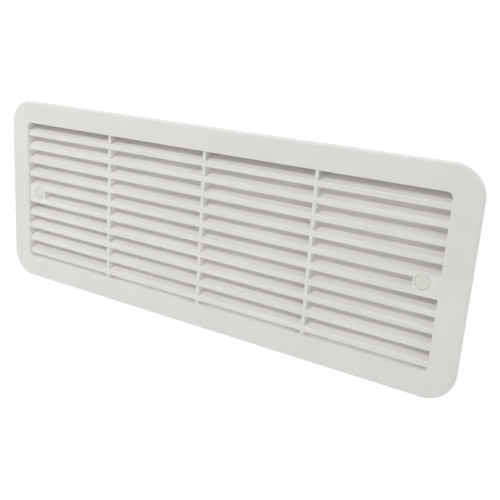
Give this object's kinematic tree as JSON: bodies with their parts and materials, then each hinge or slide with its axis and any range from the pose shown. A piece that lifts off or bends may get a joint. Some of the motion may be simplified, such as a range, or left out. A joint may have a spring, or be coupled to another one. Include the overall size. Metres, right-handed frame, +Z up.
{
  "type": "side vent cover",
  "caption": "Wide louvred vent cover with a flat round-cornered frame, upright ribs, a rear spigot for the wall cut-out and capped screw bosses.",
  "frame": {"origin": "middle of the cover on the face that seats on the wall", "axes": "+X along the cover's width, +Z up, +Y into the wall; the louvred front faces -Y"},
  "size_m": [0.44, 0.0176, 0.168],
  "materials": {
    "grille_plastic": "satin off-white moulded plastic",
    "cap_plastic": "satin cream moulded plastic"
  },
  "bodies": {
    "root": {"grille": "grille_plastic", "screw_cap_left": "cap_plastic", "screw_cap_right": "cap_plastic"}
  },
  "joints": []
}
